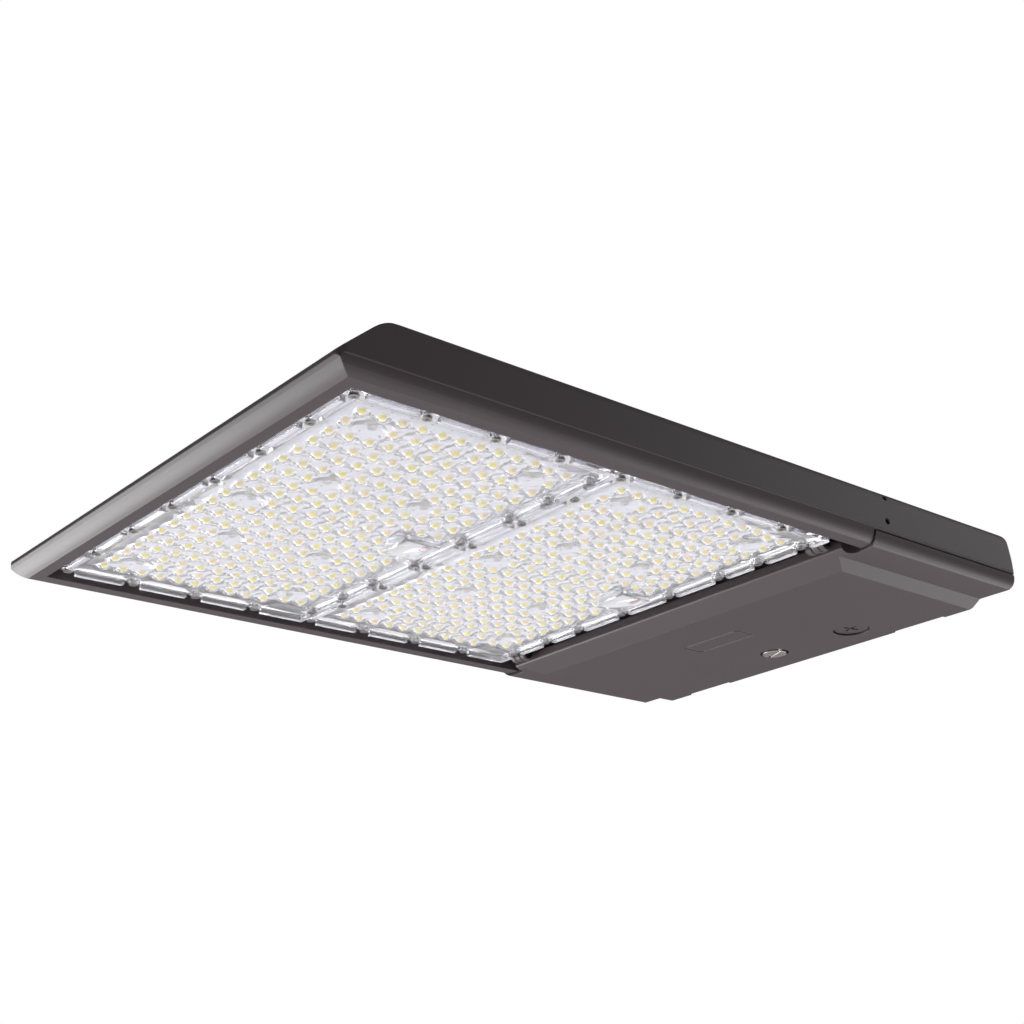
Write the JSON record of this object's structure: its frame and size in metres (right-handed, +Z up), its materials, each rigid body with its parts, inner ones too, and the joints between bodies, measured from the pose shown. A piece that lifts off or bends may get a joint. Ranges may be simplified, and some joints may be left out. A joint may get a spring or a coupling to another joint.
{
  "type": "area light",
  "caption": "Flat rectangular LED area light with clear lens panels, a finned top, and a hinged driver door with a quarter-turn latch below its rear end.",
  "frame": {"origin": "centre of the arm bolt pattern on the rear mounting face", "axes": "+Y out of the rear mounting face towards the pole, with the nose at -Y; +X across the body; +Z up, with the lenses and the door facing -Z"},
  "size_m": [0.375, 0.567, 0.0517],
  "materials": {
    "casting": "satin powder coat, dark bronze",
    "bulkhead": "plain",
    "board": "white solder mask",
    "led": "yellow phosphor",
    "connector": "matte",
    "clear": "clear",
    "seal": "matte",
    "pale_seal": "pale silicone",
    "steel": "satin",
    "dark_steel": "black oxide",
    "green_steel": "green",
    "tray": "satin",
    "driver": "matte",
    "red_plastic": "matte",
    "lead": "matte",
    "black_plastic": "matte"
  },
  "bodies": {
    "fixture": {"housing": "casting", "bulkhead": "bulkhead", "bulkhead_screws": "dark_steel", "led_board_front": "board", "led_board_rear": "board", "leds_front": "led", "leds_rear": "led", "board_screws": "dark_steel", "board_connector_front": "connector", "board_connector_rear": "connector", "led_leads_front": "lead", "led_leads_rear": "lead", "lens_gasket_front": "pale_seal", "lens_gasket_rear": "pale_seal", "lens_front": "clear", "lens_rear": "clear", "lens_screws": "steel", "driver_tray": "tray", "tray_screws": "steel", "driver_left": "driver", "driver_right": "driver", "driver_screws": "steel", "surge_protector": "red_plastic", "terminal_block": "connector", "accessory_screws": "steel", "ground_screw": "green_steel", "supply_grommet": "seal", "lead_grommet": "seal", "breather_vent": "black_plastic", "latch_receptacle": "steel", "receptacle_screws": "steel", "hinge_pins": "steel"},
    "door": {"door": "casting", "door_gasket": "seal", "port_plug": "casting", "port_seal": "seal", "port_nut": "steel"},
    "latch": {"latch_stud": "steel", "latch_retainer": "steel"}
  },
  "joints": [
    {"name": "door_hinge", "type": "hinge", "parent": "fixture", "child": "door", "pos_m": [0, -0.1665, -0.0168], "axis": [-1, 0, 0], "range_deg": [0, 95]},
    {"name": "latch_turn", "type": "hinge", "parent": "door", "child": "latch", "pos_m": [-0.005, -0.0355, -0.025], "axis": [0, 0, 1], "range_deg": [0, 90]}
  ]
}
